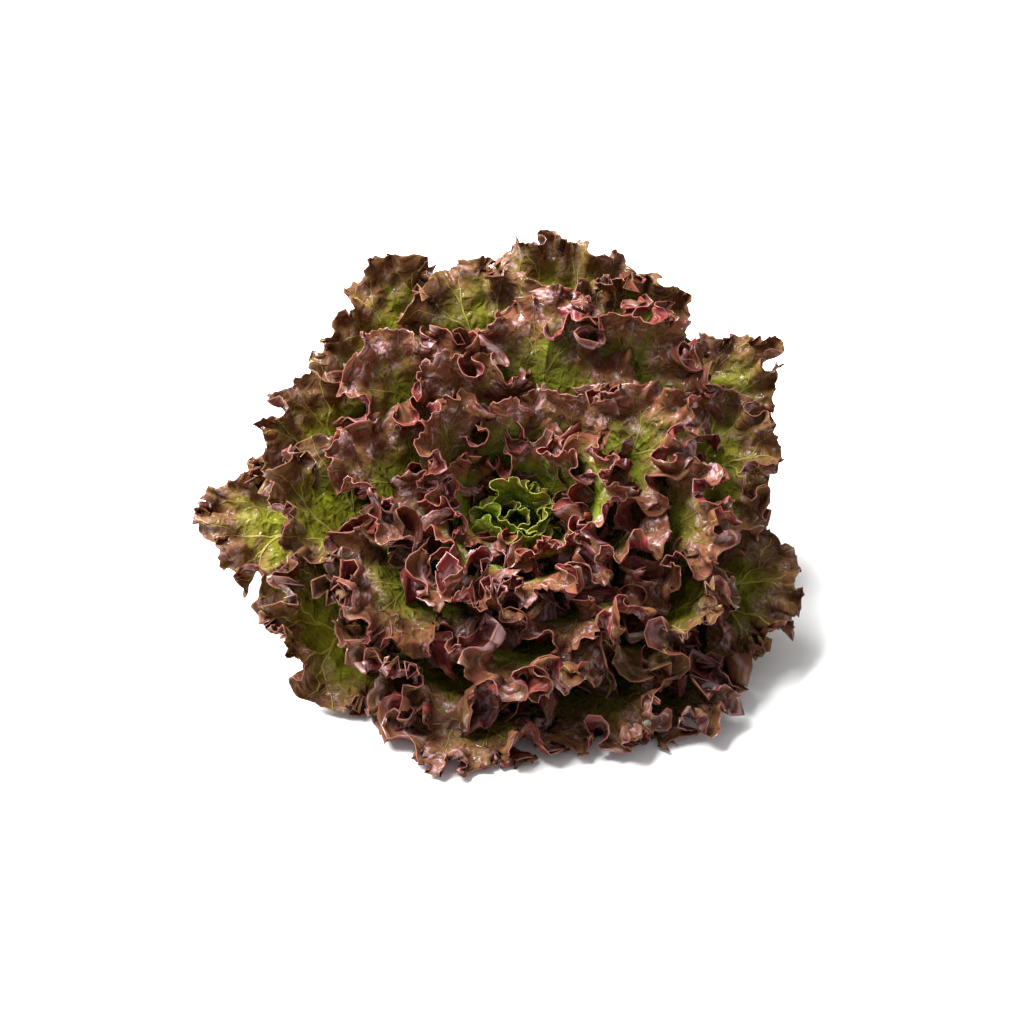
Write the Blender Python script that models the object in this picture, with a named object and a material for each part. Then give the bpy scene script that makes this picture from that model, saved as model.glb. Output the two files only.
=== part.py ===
"""Red leaf lettuce: one whole loose-leaf head, resting on its cut stem and on its front leaves.

Metres, +Z up, the viewer at -Y. The origin is the middle of the stem's flat cut face, which lies on the table.
The head's axis starts just ahead of it and leans forward, so that the open heart faces the viewer. The leaves grow a
golden angle apart round the stem, each wrapped round the axis outside the one before it.
"""

import bmesh
import bpy
import numpy as np
from mathutils import Matrix, Vector

MM = 0.001

# The head
LEAN = np.radians(32)  # the axis leans this far from upright, towards -Y
AHEAD = 8 * MM  # the axis meets the table this far in front of the cut face's middle, as the stem bends a little
GOLDEN = np.radians(137.508)  # each leaf grows this far round the stem from the one before it
START = np.radians(20)  # where the first leaf stands
SEED = 7
PRESS = 14 * MM  # leaves lower than this settle on the table
REST = 0.4 * MM  # where the middle of a leaf's thickness settles that would touch the table
SETTLES = 0.03  # how much of its depth below that a leaf keeps, which the table's surface then cuts flat
TIP_CLEAR = 6 * MM  # a leaf's tip aims at least this far above the table
BACK_LONGER = 0.08  # leaves reach this much further at the back, and this much less at the front

# The rings of leaves, from the heart out, each from its first leaf to its last: how far the tips are from the axis
# and up along it, and the length of a frill's wave, in mm; how far a leaf arches outwards and the steepest slope of
# its frill, in degrees; its half width as a share of its length; the least radius that it is rolled to, in mm; the
# share of the margin that stands free; and the rows of points between midrib (0) and margin (1)
RINGS = (
    dict(name="heart", count=8, tip_out=(3, 16), tip_up=(74, 82), wave=(17, 19), arch=-10, steep=40, width=0.40,
         roll=14, span=0.5, rows=(0, 0.55, 1)),
    dict(name="ring", count=6, tip_out=(31, 45), tip_up=(92, 103), wave=(18, 20), arch=0, steep=50, width=0.40,
         roll=6, span=0.55, rows=(0, 0.55, 1)),
    dict(name="middle", count=16, tip_out=(48, 106), tip_up=(106, 101), wave=(20, 24), arch=0, steep=50, width=0.38,
         roll=6, span=0.55, rows=(0, 0.55, 1)),
    dict(name="outer", count=16, tip_out=(108, 142), tip_up=(100, 42), wave=(28, 31), arch=-25, steep=38, width=0.44,
         roll=6, span=0.65, rows=(0, 0.45, 0.75, 1)),
)
ROOT_OUT = (3 * MM, 12 * MM)  # from the axis to a leaf's foot, first leaf to last
ROOT_UP = (34 * MM, 10 * MM)  # from the origin up the axis to a leaf's foot

# One leaf
BLADE = 1.3 * MM  # thickness
FOOT = (3 * MM, 8 * MM)  # half width of the foot, first leaf to last
WIDEST = 0.62  # where along its length a leaf is widest
RIB = 0.74  # how far along its length the midrib goes
SIDES_REACH = np.radians(165)  # how far round the margin goes, from the tip to the foot on each side
TAPER = 1.2  # how fast the blade narrows to its foot
LOBES = 0.10  # how far the margin's lobes stand in and out, as a share of the leaf's reach
SCALLOP = 0.03  # the same for the frill's own scallops
ARCH_GROWS = 1.5  # a leaf's lean grows with this power of the way along it
FRILL_DEPTH = 0.6  # how far in from the margin the frill reaches, in wave lengths
STEEPEST = 1.35  # radians, the most that a frill slopes
SLIDE = 0.17  # how far crests lean over their necks, in wave lengths
DRIFT = 1.6  # radians, how unevenly the waves are spaced
VARY = 0.3  # how much the waves differ in steepness
CALM, LOBES_CALM = 0.86, 0.76  # past these shares of the way to its foot, the margin has less frill, and less lobe
OUTLINE_STEPS = 401
RIB_FANS = 1.5  # how fast the strips' feet go down the midrib, as a power of the way round
FINE_ROWS, FINE_COLUMNS = 41, 601  # a leaf is worked out on this grid, then read at a few of its points
ROWS_PACK = 0.8  # a power below 1 packs the grid's rows towards the margin
END_CLEAR = 0.02  # no crest this close, in t, to where a leaf's free margin ends

# Solids turned round the axis, as (distance from it, distance along it) in mm from the bottom up: the stem, the
# crown of packed leaf bases that the free leaves stand out of, the heart's own core, and the room it needs
SIDES = 20
STEM = ((0, -14), (12, -14), (13, 0), (14, 8), (13, 20), (10.5, 32), (9, 36), (0, 36))
CROWN = ((0, 3), (16, 3), (46, 7), (60, 12), (64, 20), (56, 34), (46, 46), (32, 56), (22, 60), (13, 58), (0, 44))
HEART_CORE = ((0, 36.5), (8, 36.5), (9, 40), (7, 48), (0, 52))
HEART_ROOM = ((0, 36.2), (11, 36.2), (14, 45), (17, 58), (19, 72), (18, 84), (12, 92), (0, 95))
GAP = 0.35  # mm, between the heart's leaves and that room

RED = (0.11, 0.035, 0.03)
GREEN = (0.17, 0.30, 0.03)


def smooth(start, end, x):
    """0 on the start's side, 1 on the end's, with a soft step between."""
    u = np.clip((x - start) / (end - start), 0, 1)
    return u * u * (3 - 2 * u)


def wander(draw, count, top):
    """A soft random line in t, about -1 to 1: a few sines of random pitch and phase."""
    pitch = draw.uniform(1, top, count) * np.pi
    phase = draw.uniform(0, 2 * np.pi, count)
    return lambda t: np.sin(np.multiply.outer(t, pitch) + phase).mean(-1) * np.sqrt(count) * 0.8


def between(pair, share):
    """The value at this share of the way through a pair."""
    return pair[0] + (pair[1] - pair[0]) * share


def arched_chord(arch):
    """Length and lean of the chord of a unit strip whose own lean grows from nothing to arch."""
    lean = arch * np.linspace(0, 1, 101) ** ARCH_GROWS
    out, up = np.sin(lean).mean(), np.cos(lean).mean()
    return np.hypot(out, up), np.arctan2(out, up)


def leaf_plan():
    """Every leaf's place and size, from the heart out."""
    draw = np.random.default_rng(SEED)
    leaves = []
    total = sum(ring["count"] for ring in RINGS)
    for ring in RINGS:
        for step in range(ring["count"]):
            share = step / (ring["count"] - 1)
            age = len(leaves) / (total - 1)
            azimuth = len(leaves) * GOLDEN + START + draw.uniform(-0.1, 0.1)
            tip_out = between(ring["tip_out"], share) * MM * (1 + BACK_LONGER * np.sin(azimuth))
            tip_up = between(ring["tip_up"], share) * MM
            height = tip_out * np.sin(azimuth) * np.sin(LEAN) + tip_up * np.cos(LEAN)
            tip_up += max(0.0, TIP_CLEAR - height) / np.cos(LEAN)
            root_out, root_up = between(ROOT_OUT, age), between(ROOT_UP, age)
            arch = np.radians(ring["arch"])
            chord, turn = arched_chord(arch)
            spine = np.hypot(tip_out - root_out, tip_up - root_up) / chord
            length = spine * draw.uniform(0.96, 1.04)
            wave = between(ring["wave"], share) * MM
            leaves.append(dict(
                ring, number=len(leaves), azimuth=azimuth, root_out=root_out, root_up=root_up, arch=arch,
                rise=np.arctan2(tip_out - root_out, tip_up - root_up) - turn, spine=spine, length=length,
                half_width=length * ring["width"], foot=between(FOOT, age), roll=ring["roll"] * MM, wave=wave,
                waves=max(5, round(length * 2.5 / wave)), steep=np.radians(ring["steep"]),
            ))
    return leaves


def leaf_outline(leaf, turn, grow):
    """The egg-shaped margin at an angle from the tip, seen from the leaf's widest place."""
    side, ahead = np.sin(turn), np.cos(turn)
    x = side * (leaf["foot"] + (leaf["half_width"] - leaf["foot"]) * np.abs(side) ** TAPER) * grow
    return x, leaf["length"] * (WIDEST + np.where(ahead > 0, (1 - WIDEST) * grow, WIDEST) * ahead)


def flat_leaf(leaf, s, t, lobe, phase):
    """The leaf laid flat: strips run from the midrib (s 0) to the lobed margin (s 1), and t is the share of the
    margin's length from the tip, -1 and 1 being the two sides of the foot."""
    turn = np.linspace(-SIDES_REACH, SIDES_REACH, OUTLINE_STEPS)
    plain_x, plain_y = leaf_outline(leaf, turn, 1)
    run = np.concatenate([[0], np.cumsum(np.hypot(np.diff(plain_x), np.diff(plain_y)))])
    grow = 1 + (LOBES * lobe + SCALLOP * np.cos(2 * phase)) * smooth(1, LOBES_CALM, np.abs(t))
    turn = np.interp(t, 2 * run / run[-1] - 1, turn)
    edge_x, edge_y = leaf_outline(leaf, turn, grow)
    rib_y = RIB * leaf["length"] * (1 - np.abs(turn / SIDES_REACH) ** RIB_FANS)
    return s * edge_x, rib_y + s * (edge_y - rib_y)


def wrapped_leaf(leaf, x, y):
    """The flat leaf arched outwards along its length and wrapped round the head's axis, as (across, out, up)."""
    along = np.linspace(-0.1, 1.35, 146)
    lean = leaf["rise"] + leaf["arch"] * np.clip(along, 0, None) ** ARCH_GROWS
    step = (along[1] - along[0]) * leaf["spine"]
    out, up = np.cumsum(np.sin(lean)) * step, np.cumsum(np.cos(lean)) * step
    out += leaf["root_out"] - np.interp(0, along, out)
    up += leaf["root_up"] - np.interp(0, along, up)
    u = y / leaf["spine"]
    out, up = np.interp(u, along, out), np.interp(u, along, up)
    radius = np.hypot(out, leaf["roll"])
    return np.stack([radius * np.sin(x / radius), out - radius * (1 - np.cos(x / radius)), up], -1)


def unit(vectors):
    """The vectors at length 1."""
    return vectors / (np.linalg.norm(vectors, axis=-1, keepdims=True) + 1e-12)


def sheet_directions(sheet):
    """At each point of a sheet's grid, the way along the margin and the way square to the sheet."""
    along = np.gradient(sheet, axis=1)
    normal = unit(np.cross(along, np.gradient(sheet, axis=0)))
    normal[0] = unit(normal[1] + normal[1, ::-1])
    return unit(along), normal


def frilled_leaf(leaf, s, sheet, phase, amount, depth):
    """The sheet with its frill: near the margin each strip bends up and down in turn, and the waves' crests slide
    over their necks."""
    along, normal = sheet_directions(sheet)
    near = smooth(1, 0, depth / (FRILL_DEPTH * leaf["wave"]))
    wavy = np.sin(phase + 1 - s)
    steep = np.clip(leaf["steep"] * amount, 0, STEEPEST)
    bend = near * np.arcsin(np.sin(steep) * wavy)
    strip = np.diff(sheet, axis=0)
    size = np.linalg.norm(strip, axis=-1, keepdims=True)
    strip = unit(strip)
    across = normal[1:] + normal[:-1]
    across = unit(across - strip * (across * strip).sum(-1, keepdims=True))
    bend = ((bend[1:] + bend[:-1]) / 2)[..., None]
    step = size * (np.cos(bend) * strip + np.sin(bend) * across)
    bent = np.concatenate([sheet[:1], sheet[:1] + np.cumsum(step, axis=0)])
    slide = SLIDE * leaf["wave"] * near * np.sin(steep) ** 2 * np.sin(2 * phase)
    return bent - along * slide[..., None], normal


def leaf_sheet(leaf):
    """The middle of the leaf's thickness on the fine grid, in the leaf's own axes, and the way square to the leaf
    there before it is frilled, with the grid's s and t and the frill's phase."""
    draw = np.random.default_rng(100 + leaf["number"])
    lobe, drift, vary = wander(draw, 5, 9), wander(draw, 4, 6), wander(draw, 4, 8)
    row, column = np.linspace(0, 1, FINE_ROWS) ** ROWS_PACK, np.linspace(-1, 1, FINE_COLUMNS)
    s, t = np.meshgrid(row, column, indexing="ij")
    phase = np.pi * leaf["waves"] * column + draw.uniform(0, 2 * np.pi) + DRIFT * drift(column)
    x, y = flat_leaf(leaf, s, t, lobe(column), phase)
    depth = (1 - s) * np.hypot(x[-1] - x[0], y[-1] - y[0])
    amount = (1 + VARY * vary(column)) * smooth(1, CALM, np.abs(column))
    sheet, normal = frilled_leaf(leaf, s, wrapped_leaf(leaf, x, y), phase, amount, depth)
    return row, column, phase, sheet, normal


def on_head(leaf, vectors):
    """Vectors in the leaf's own axes turned to its place on the leaning head."""
    across, out, up = vectors.T
    c, d = np.cos(leaf["azimuth"]), np.sin(leaf["azimuth"])
    x, y = out * c - across * d, out * d + across * c
    y, z = y * np.cos(LEAN) - up * np.sin(LEAN), y * np.sin(LEAN) + up * np.cos(LEAN)
    return np.stack([x, y, z], -1)


def pressed(points):
    """Points that come near the table or would go through it settled on it, the lowest the flattest."""
    z = points[:, 2]
    share = np.clip(z / PRESS, 0, 1)
    low = REST + (PRESS - REST) * share ** 2 * (2 - share) + SETTLES * np.minimum(z, 0)
    return np.column_stack([points[:, :2], np.where(z > PRESS, z, low)])


def column_lists(leaf, phase, column):
    """Where along the margin each row has a point, from the midrib out: at the margin on every crest and trough of
    the frill, on the rows further in between every two of those, and on the midrib alike on both sides."""
    span = leaf["span"]
    turning = np.cos(phase)
    crests = column[:-1][turning[1:] * turning[:-1] < 0]
    lists = [np.concatenate([[-span], crests[np.abs(crests) < span - END_CLEAR], [span]])]
    for _ in leaf["rows"][2:]:
        pairs = (len(lists[0]) - 2) // 2
        inner = lists[0][1 : 2 * pairs + 1].reshape(pairs, 2).mean(1)
        lists.insert(0, np.concatenate([[-span], inner, [span]]))
    half = np.linspace(0, span, max(2, len(lists[0]) // 4 + 1))
    return [np.concatenate([-half[:0:-1], half])] + lists


def strip_faces(first, second, t_first, t_second):
    """Triangles between two rows of points, each row in turn going on to its next point."""
    faces, i, j = [], 0, 0
    while i < len(first) - 1 or j < len(second) - 1:
        ahead_first = t_first[i] + t_first[i + 1] if i < len(first) - 1 else np.inf
        ahead_second = t_second[j] + t_second[j + 1] if j < len(second) - 1 else np.inf
        if ahead_first < ahead_second:
            faces.append((first[i], second[j], first[i + 1]))
            i += 1
        else:
            faces.append((first[i], second[j], second[j + 1]))
            j += 1
    return faces


def add_object(name, mesh, collection):
    thing = bpy.data.objects.new(name, mesh)
    collection.objects.link(thing)
    return thing


def apply_modifiers(thing):
    """Leaves the object with the mesh that its modifiers make, in triangles."""
    bpy.context.view_layer.update()
    mesh = bpy.data.meshes.new_from_object(thing.evaluated_get(bpy.context.evaluated_depsgraph_get()))
    thing.modifiers.clear()
    thing.data = mesh
    shape = bmesh.new()
    shape.from_mesh(mesh)
    bmesh.ops.triangulate(shape, faces=shape.faces)
    shape.to_mesh(mesh)
    shape.free()


def add_leaf(leaf, collection):
    """One leaf as a thin closed solid: a few rows of its sheet's points in triangles, given their thickness square to
    the leaf before it is frilled. Square to the frill itself, the two faces would cross in its sharp folds."""
    row, column, phase, sheet, normal = leaf_sheet(leaf)
    places = column_lists(leaf, phase, column)
    points, squares, rows = [], [], []
    for s, t in zip(leaf["rows"], places):
        nearest_row = np.abs(row - s).argmin()
        nearest_columns = np.abs(column[None, :] - t[:, None]).argmin(1)
        index = np.arange(len(t))
        if s == 0:
            index = np.minimum(index, index[::-1])
            nearest_columns = nearest_columns[: len(t) // 2 + 1]
        rows.append(index + len(points))
        points.extend(sheet[nearest_row, nearest_columns])
        squares.extend(normal[nearest_row, nearest_columns])
    faces = []
    for k in range(len(rows) - 1):
        faces += strip_faces(rows[k], rows[k + 1], places[k], places[k + 1])
    square = on_head(leaf, np.array(squares))
    lower = pressed(on_head(leaf, np.array(points)) - (0, AHEAD, 0)) - square * BLADE / 2
    shape = bmesh.new()
    number = shape.verts.layers.int.new("number")
    corners = [shape.verts.new(point) for point in lower]
    for place, corner in enumerate(corners):
        corner[number] = place
    for face in faces:
        shape.faces.new([corners[place] for place in face])
    raised = bmesh.ops.extrude_face_region(shape, geom=shape.faces[:])
    for item in raised["geom"]:
        if isinstance(item, bmesh.types.BMVert):
            item.co += Vector(square[item[number]] * BLADE)
    bmesh.ops.recalc_face_normals(shape, faces=shape.faces)
    if shape.calc_volume(signed=True) < 0:
        bmesh.ops.reverse_faces(shape, faces=shape.faces)
    bmesh.ops.triangulate(shape, faces=shape.faces)
    mesh = bpy.data.meshes.new("leaf")
    shape.to_mesh(mesh)
    shape.free()
    add_object(f"leaf_{leaf['number']}", mesh, collection)


def add_turned(name, profile, collection, gap=0.0, ahead=AHEAD, above_table=False):
    """A solid turned round the leaning axis from a profile in mm, drawn in by a gap all round, and where it is asked
    pressed by the table as the leaves are."""
    ups = [up for _, up in profile]
    low, high = min(ups) + gap, max(ups) - gap
    shape = bmesh.new()
    outline = [shape.verts.new((max(out - gap, 0) * MM, 0, float(np.clip(up, low, high)) * MM)) for out, up in profile]
    edges = [shape.edges.new(pair) for pair in zip(outline[:-1], outline[1:])]
    bmesh.ops.spin(shape, geom=outline + edges, axis=(0, 0, 1), angle=2 * np.pi, steps=SIDES, use_merge=True)
    bmesh.ops.remove_doubles(shape, verts=shape.verts, dist=1e-6)
    bmesh.ops.recalc_face_normals(shape, faces=shape.faces)
    bmesh.ops.triangulate(shape, faces=shape.faces)
    bmesh.ops.rotate(shape, verts=shape.verts, matrix=Matrix.Rotation(LEAN, 3, "X"))
    bmesh.ops.translate(shape, verts=shape.verts, vec=(0, -ahead, 0))
    if above_table:
        for corner, place in zip(shape.verts, pressed(np.array([corner.co for corner in shape.verts]))):
            corner.co = place
    mesh = bpy.data.meshes.new(name)
    shape.to_mesh(mesh)
    shape.free()
    return add_object(name, mesh, collection)


def add_table_cutter(collection):
    """A block under the table's surface, which gives the stem its flat cut face and the front leaves their flat
    spots."""
    bpy.ops.mesh.primitive_cube_add(size=0.4, location=(0, 0, -0.2))
    block = bpy.context.object
    block.name = "table_cutter"
    for holder in list(block.users_collection):
        holder.objects.unlink(block)
    collection.objects.link(block)
    return block


def combine(thing, operation, other):
    """A Boolean of a solid with another one, or with a whole collection of them, applied."""
    boolean = thing.modifiers.new(operation.lower(), "BOOLEAN")
    boolean.operation = operation
    if isinstance(other, bpy.types.Collection):
        boolean.operand_type = "COLLECTION"
        boolean.collection = other
    else:
        boolean.object = other
    apply_modifiers(thing)


def remove_objects(collection):
    for thing in list(collection.objects):
        bpy.data.objects.remove(thing)


def keep_main_body(thing):
    """Drops loose scraps, and fills sealed hollows by dropping their walls."""
    shape = bmesh.new()
    shape.from_mesh(thing.data)
    left = set(shape.verts)
    bodies = []
    while left:
        queue = [left.pop()]
        body = []
        while queue:
            point = queue.pop()
            body.append(point)
            linked = {edge.other_vert(point) for edge in point.link_edges} & left
            left -= linked
            queue.extend(linked)
        bodies.append(body)
    for body in sorted(bodies, key=len)[:-1]:
        bmesh.ops.delete(shape, geom=body, context="VERTS")
    shape.to_mesh(thing.data)
    shape.free()


def paint(thing, name, colour):
    material = bpy.data.materials.new(name)
    material.use_nodes = True
    surface = material.node_tree.nodes["Principled BSDF"]
    surface.inputs["Base Color"].default_value = (*colour, 1)
    surface.inputs["Roughness"].default_value = 0.4
    thing.data.materials.clear()
    thing.data.materials.append(material)


def main():
    for thing in list(bpy.data.objects):
        bpy.data.objects.remove(thing)
    head, blades, cutters = (bpy.data.collections.new(name) for name in ("red_leaf_lettuce", "blades", "cutters"))
    for collection in (head, blades, cutters):
        bpy.context.scene.collection.children.link(collection)
    leaves = leaf_plan()

    red_leaves = add_turned("red_leaves", STEM, head, ahead=0.0)
    add_turned("crown", CROWN, blades, above_table=True)
    for leaf in leaves:
        if leaf["name"] != "heart":
            add_leaf(leaf, blades)
    combine(red_leaves, "UNION", blades)
    remove_objects(blades)
    combine(red_leaves, "DIFFERENCE", add_turned("heart_room", HEART_ROOM, cutters))
    combine(red_leaves, "DIFFERENCE", add_table_cutter(cutters))
    keep_main_body(red_leaves)
    paint(red_leaves, "red leaf", RED)

    green_heart = add_turned("green_heart", HEART_CORE, head)
    for leaf in leaves:
        if leaf["name"] == "heart":
            add_leaf(leaf, blades)
    combine(green_heart, "UNION", blades)
    remove_objects(blades)
    combine(green_heart, "INTERSECT", add_turned("heart_fit", HEART_ROOM, cutters, gap=GAP))
    keep_main_body(green_heart)
    paint(green_heart, "green leaf", GREEN)

    remove_objects(cutters)
    for collection in (blades, cutters):
        bpy.data.collections.remove(collection)


main()
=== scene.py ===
"""Red leaf lettuce: the looks of one whole loose-leaf head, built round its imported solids.

Metres, +Z up, the viewer at -Y. The origin is the middle of the stem's cut face. The head is put together
from the inside out: the stem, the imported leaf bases, then the leaves from the heart to the outside.
"""

import bpy
import numpy as np
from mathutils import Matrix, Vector


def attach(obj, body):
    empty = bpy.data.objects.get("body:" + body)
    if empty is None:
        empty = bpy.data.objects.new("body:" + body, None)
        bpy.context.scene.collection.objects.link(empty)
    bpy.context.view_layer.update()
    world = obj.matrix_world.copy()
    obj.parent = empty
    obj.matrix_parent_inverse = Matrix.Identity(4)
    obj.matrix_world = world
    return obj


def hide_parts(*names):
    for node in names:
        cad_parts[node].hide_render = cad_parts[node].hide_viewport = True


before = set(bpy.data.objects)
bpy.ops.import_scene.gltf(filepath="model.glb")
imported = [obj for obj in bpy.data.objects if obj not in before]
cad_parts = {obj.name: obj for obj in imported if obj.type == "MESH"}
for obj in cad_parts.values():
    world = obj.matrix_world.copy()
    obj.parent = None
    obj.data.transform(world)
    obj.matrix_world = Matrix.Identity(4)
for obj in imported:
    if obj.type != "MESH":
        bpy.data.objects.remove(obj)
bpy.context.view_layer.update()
MM = 0.001


# The stem
# The short butt of the plant, cut flat with a knife where the head was picked. It is pale and juicy, and its
# cut face has browned a little. It leans towards the viewer as the whole head does.
LEAN = np.radians(32)
TABLE_GAP = 0.1 * MM  # nothing comes closer to the table than this
STEM_OUT = (0, 11.8, 12.8, 13.8, 13.2, 11)  # mm from the axis, from the cut face up
STEM_UP = (0, 0, 1.2, 8, 20, 34)  # mm along the axis
GROOVES = ((9, 0.02, 1), (23, 0.012, 0))  # how many there are, their depth in stem radii, and phase
STEM_SIDES, STEM_RINGS = 96, 41
STEM_HUB = 0.004  # the share of the profile where the first ring of points lies, close round the axis
FLESH_LOW, FLESH_HIGH, FLESH_BROWNED = (0.50, 0.52, 0.30, 1), (0.42, 0.52, 0.18, 1), (0.30, 0.13, 0.05, 1)


def smooth(start, end, x):
    """0 on the start's side, 1 on the end's, with a soft step between."""
    u = np.clip((x - start) / (end - start), 0, 1)
    return u * u * (3 - 2 * u)


def leaned(points):
    """Points turned about the X axis, so that what stood along +Z leans towards the viewer."""
    x, y, z = np.moveaxis(points, -1, 0)
    return np.stack([x, y * np.cos(LEAN) - z * np.sin(LEAN), y * np.sin(LEAN) + z * np.cos(LEAN)], -1)


def add_piece(name, points, faces, material, values=None):
    """A smooth mesh piece that rides on the head's one body, with its values as point attributes."""
    mesh = bpy.data.meshes.new(name)
    mesh.from_pydata(points.tolist(), [], faces)
    for key, value in (values or {}).items():
        kind, field = ("FLOAT_VECTOR", "vector") if value.ndim == 2 else ("FLOAT", "value")
        mesh.attributes.new(key, kind, "POINT").data.foreach_set(field, value.astype(np.float32).ravel())
    mesh.shade_smooth()
    mesh.materials.append(material)
    piece = bpy.data.objects.new(name, mesh)
    bpy.context.scene.collection.objects.link(piece)
    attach(piece, "root")
    return piece


def new_material(name):
    """A material with its node tree, and a function that adds a node with its settings and inputs."""
    material = bpy.data.materials.new(name)
    material.use_nodes = True
    return material, node_adder(material.node_tree)


def node_adder(tree):
    """A function that adds a node: its type, its settings, then each input's value or the output it reads."""

    def add(kind, inputs=None, **settings):
        node = tree.nodes.new(kind)
        for key, value in settings.items():
            setattr(node, key, value)
        for key, value in (inputs or {}).items():
            if isinstance(value, bpy.types.NodeSocket):
                tree.links.new(value, node.inputs[key])
            else:
                node.inputs[key].default_value = value
        return node

    return add


def math_node(add, operation, first, second=0.0, third=0.0):
    """The output of a Math node."""
    return add("ShaderNodeMath", {0: first, 1: second, 2: third}, operation=operation).outputs[0]


def step_node(add, value, low, high, first=0.0, last=1.0):
    """The output of a soft step from first to last as the value goes from low to high."""
    ends = {"From Min": low, "From Max": high, "To Min": first, "To Max": last}
    return add(
        "ShaderNodeMapRange", {"Value": value, **ends}, interpolation_type="SMOOTHSTEP"
    ).outputs["Result"]


def mix_node(add, share, first, second, blend="MIX"):
    """The colour output of a Mix node."""
    return add("ShaderNodeMix", {0: share, 6: first, 7: second}, data_type="RGBA", blend_type=blend).outputs[2]


def profile(along, outs, ups):
    """How far out and up a turned profile is, in mm, at shares of its run of evenly spaced points."""
    stops = np.linspace(0, 1, len(outs))
    return np.interp(along, stops, outs), np.interp(along, stops, ups)


def waved(angle, waves):
    """1 with waves round it, each given as how many there are, how high and at which phase."""
    return 1 + sum(height * np.sin(count * angle + start) for count, height, start in waves)


def turned(angle, out, up):
    """Points in metres from their angle round the axis and their mm out and up."""
    return np.stack([out * np.cos(angle), out * np.sin(angle), up], -1) * MM


def stem_surface(around, along):
    """The stem's skin: a turned profile with faint grooves round it and a slightly uneven cut edge."""
    angle = 2 * np.pi * around
    out, up = profile(along, STEM_OUT, STEM_UP)
    return turned(angle, out * waved(angle, GROOVES), up)


def turned_faces(rings, sides):
    """Quads between closed rings of points, facing out when the rings go up, and a face over each end."""
    index = np.arange(rings * sides).reshape(rings, sides)
    nearby = np.roll(index, -1, axis=1)
    quads = np.stack([index[:-1], nearby[:-1], nearby[1:], index[1:]], -1).reshape(-1, 4).tolist()
    return quads + [index[0, ::-1].tolist(), index[-1].tolist()]


around, along = np.meshgrid(np.arange(STEM_SIDES) / STEM_SIDES, np.linspace(STEM_HUB, 1, STEM_RINGS))
stem_points = leaned(stem_surface(around, along).reshape(-1, 3))
stem_points[:, 2] = np.maximum(stem_points[:, 2], TABLE_GAP)

stem_material, add = new_material("stem")
surface = stem_material.node_tree.nodes["Principled BSDF"]
place = add("ShaderNodeTexCoord").outputs["Object"]
height = add("ShaderNodeSeparateXYZ", {0: place}).outputs["Z"]
speckle = add("ShaderNodeTexNoise", {"Vector": place, "Scale": 260.0, "Detail": 4.0}).outputs["Fac"]
browned = math_node(add, "MULTIPLY", step_node(add, height, 0.0015, 0.0002), step_node(add, speckle, 0.35, 0.6))
flesh = mix_node(add, step_node(add, height, 0.004, 0.03), FLESH_LOW, FLESH_HIGH)
skin = mix_node(add, browned, flesh, FLESH_BROWNED)
bump = add("ShaderNodeBump", {"Height": speckle, "Strength": 0.3, "Distance": 0.0004})
stem_material.node_tree.links.new(skin, surface.inputs["Base Color"])
stem_material.node_tree.links.new(bump.outputs[0], surface.inputs["Normal"])
surface.inputs["Roughness"].default_value = 0.42
stem = add_piece("stem", stem_points, turned_faces(STEM_RINGS, STEM_SIDES), stem_material)
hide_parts("red_leaves")


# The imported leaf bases
# Where all the leaves grow from the stem, their pale juicy bases lie tightly against each other. Only the
# ends of the lowest ones show, from below, as flutes that run out from the stem.
AHEAD = 8 * MM  # the axis meets the table this far in front of the cut face's middle
PRESS = 10 * MM  # what is lower than this is pressed flatter by the table
REST = 0.8 * MM  # how far above the table pressed leaves end up
CROWN_TOP = 128 * MM  # frills that stand higher than this are held lower, as their own weight bends them
RIGHT_SIDE = 122 * MM  # and those further right than this are held nearer the head
SAG = 0.55  # the share of what stands past those two limits that stays past them
BASE_OUT = (10, 13, 22, 34, 46, 52, 50, 42, 31, 20, 8)  # mm from the axis, from the stem up
BASE_UP = (4, 6, 9, 12, 17, 24, 33, 43, 52, 57, 50)  # mm along the axis
FLUTES, FLUTE = 13, 0.035  # how many flutes, and their depth as a share of the radius
FLUTES_WIND, FLUTES_ROUND = 1.4, 0.7  # how far they wind round the axis, and how full each one is
BASE_WAVES = ((3, 0.012, 1), (31, 0.006, 0))  # as the stem's grooves
BASE_SIDES, BASE_RINGS = 156, 40
BASES_LOW, BASES_HIGH, BASES_STREAK = (0.50, 0.54, 0.26, 1), (0.30, 0.38, 0.08, 1), (0.36, 0.42, 0.12, 1)


def pressed(points):
    """Points that come near the table or would go through it lifted off it, the lowest the most. Those that
    stand out furthest at the top and the right are held in."""
    x, z, soft = points[..., 0], points[..., 2], PRESS - REST
    low = REST + soft * np.exp(np.minimum(z - PRESS, 0) / soft)
    high = np.minimum(z, CROWN_TOP) + SAG * np.maximum(z - CROWN_TOP, 0)
    near = np.minimum(x, RIGHT_SIDE) + SAG * np.maximum(x - RIGHT_SIDE, 0)
    return np.stack([near, points[..., 1], np.where(z > PRESS, high, low)], -1)


def bases_surface(around, along):
    """A turned profile with rounded flutes that wind a little round the axis, and fine ribs on them."""
    angle = 2 * np.pi * around
    out, up = profile(along, BASE_OUT, BASE_UP)
    flute = np.abs(np.sin(FLUTES * angle / 2 + FLUTES_WIND * along)) ** FLUTES_ROUND
    return turned(angle, out * (waved(angle, BASE_WAVES) - 2 * FLUTE * (1 - flute)), up)


around, along = np.meshgrid(np.arange(BASE_SIDES) / BASE_SIDES, np.linspace(0, 1, BASE_RINGS))
base_points = pressed(leaned(bases_surface(around, along).reshape(-1, 3)) - (0, AHEAD, 0))

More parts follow.
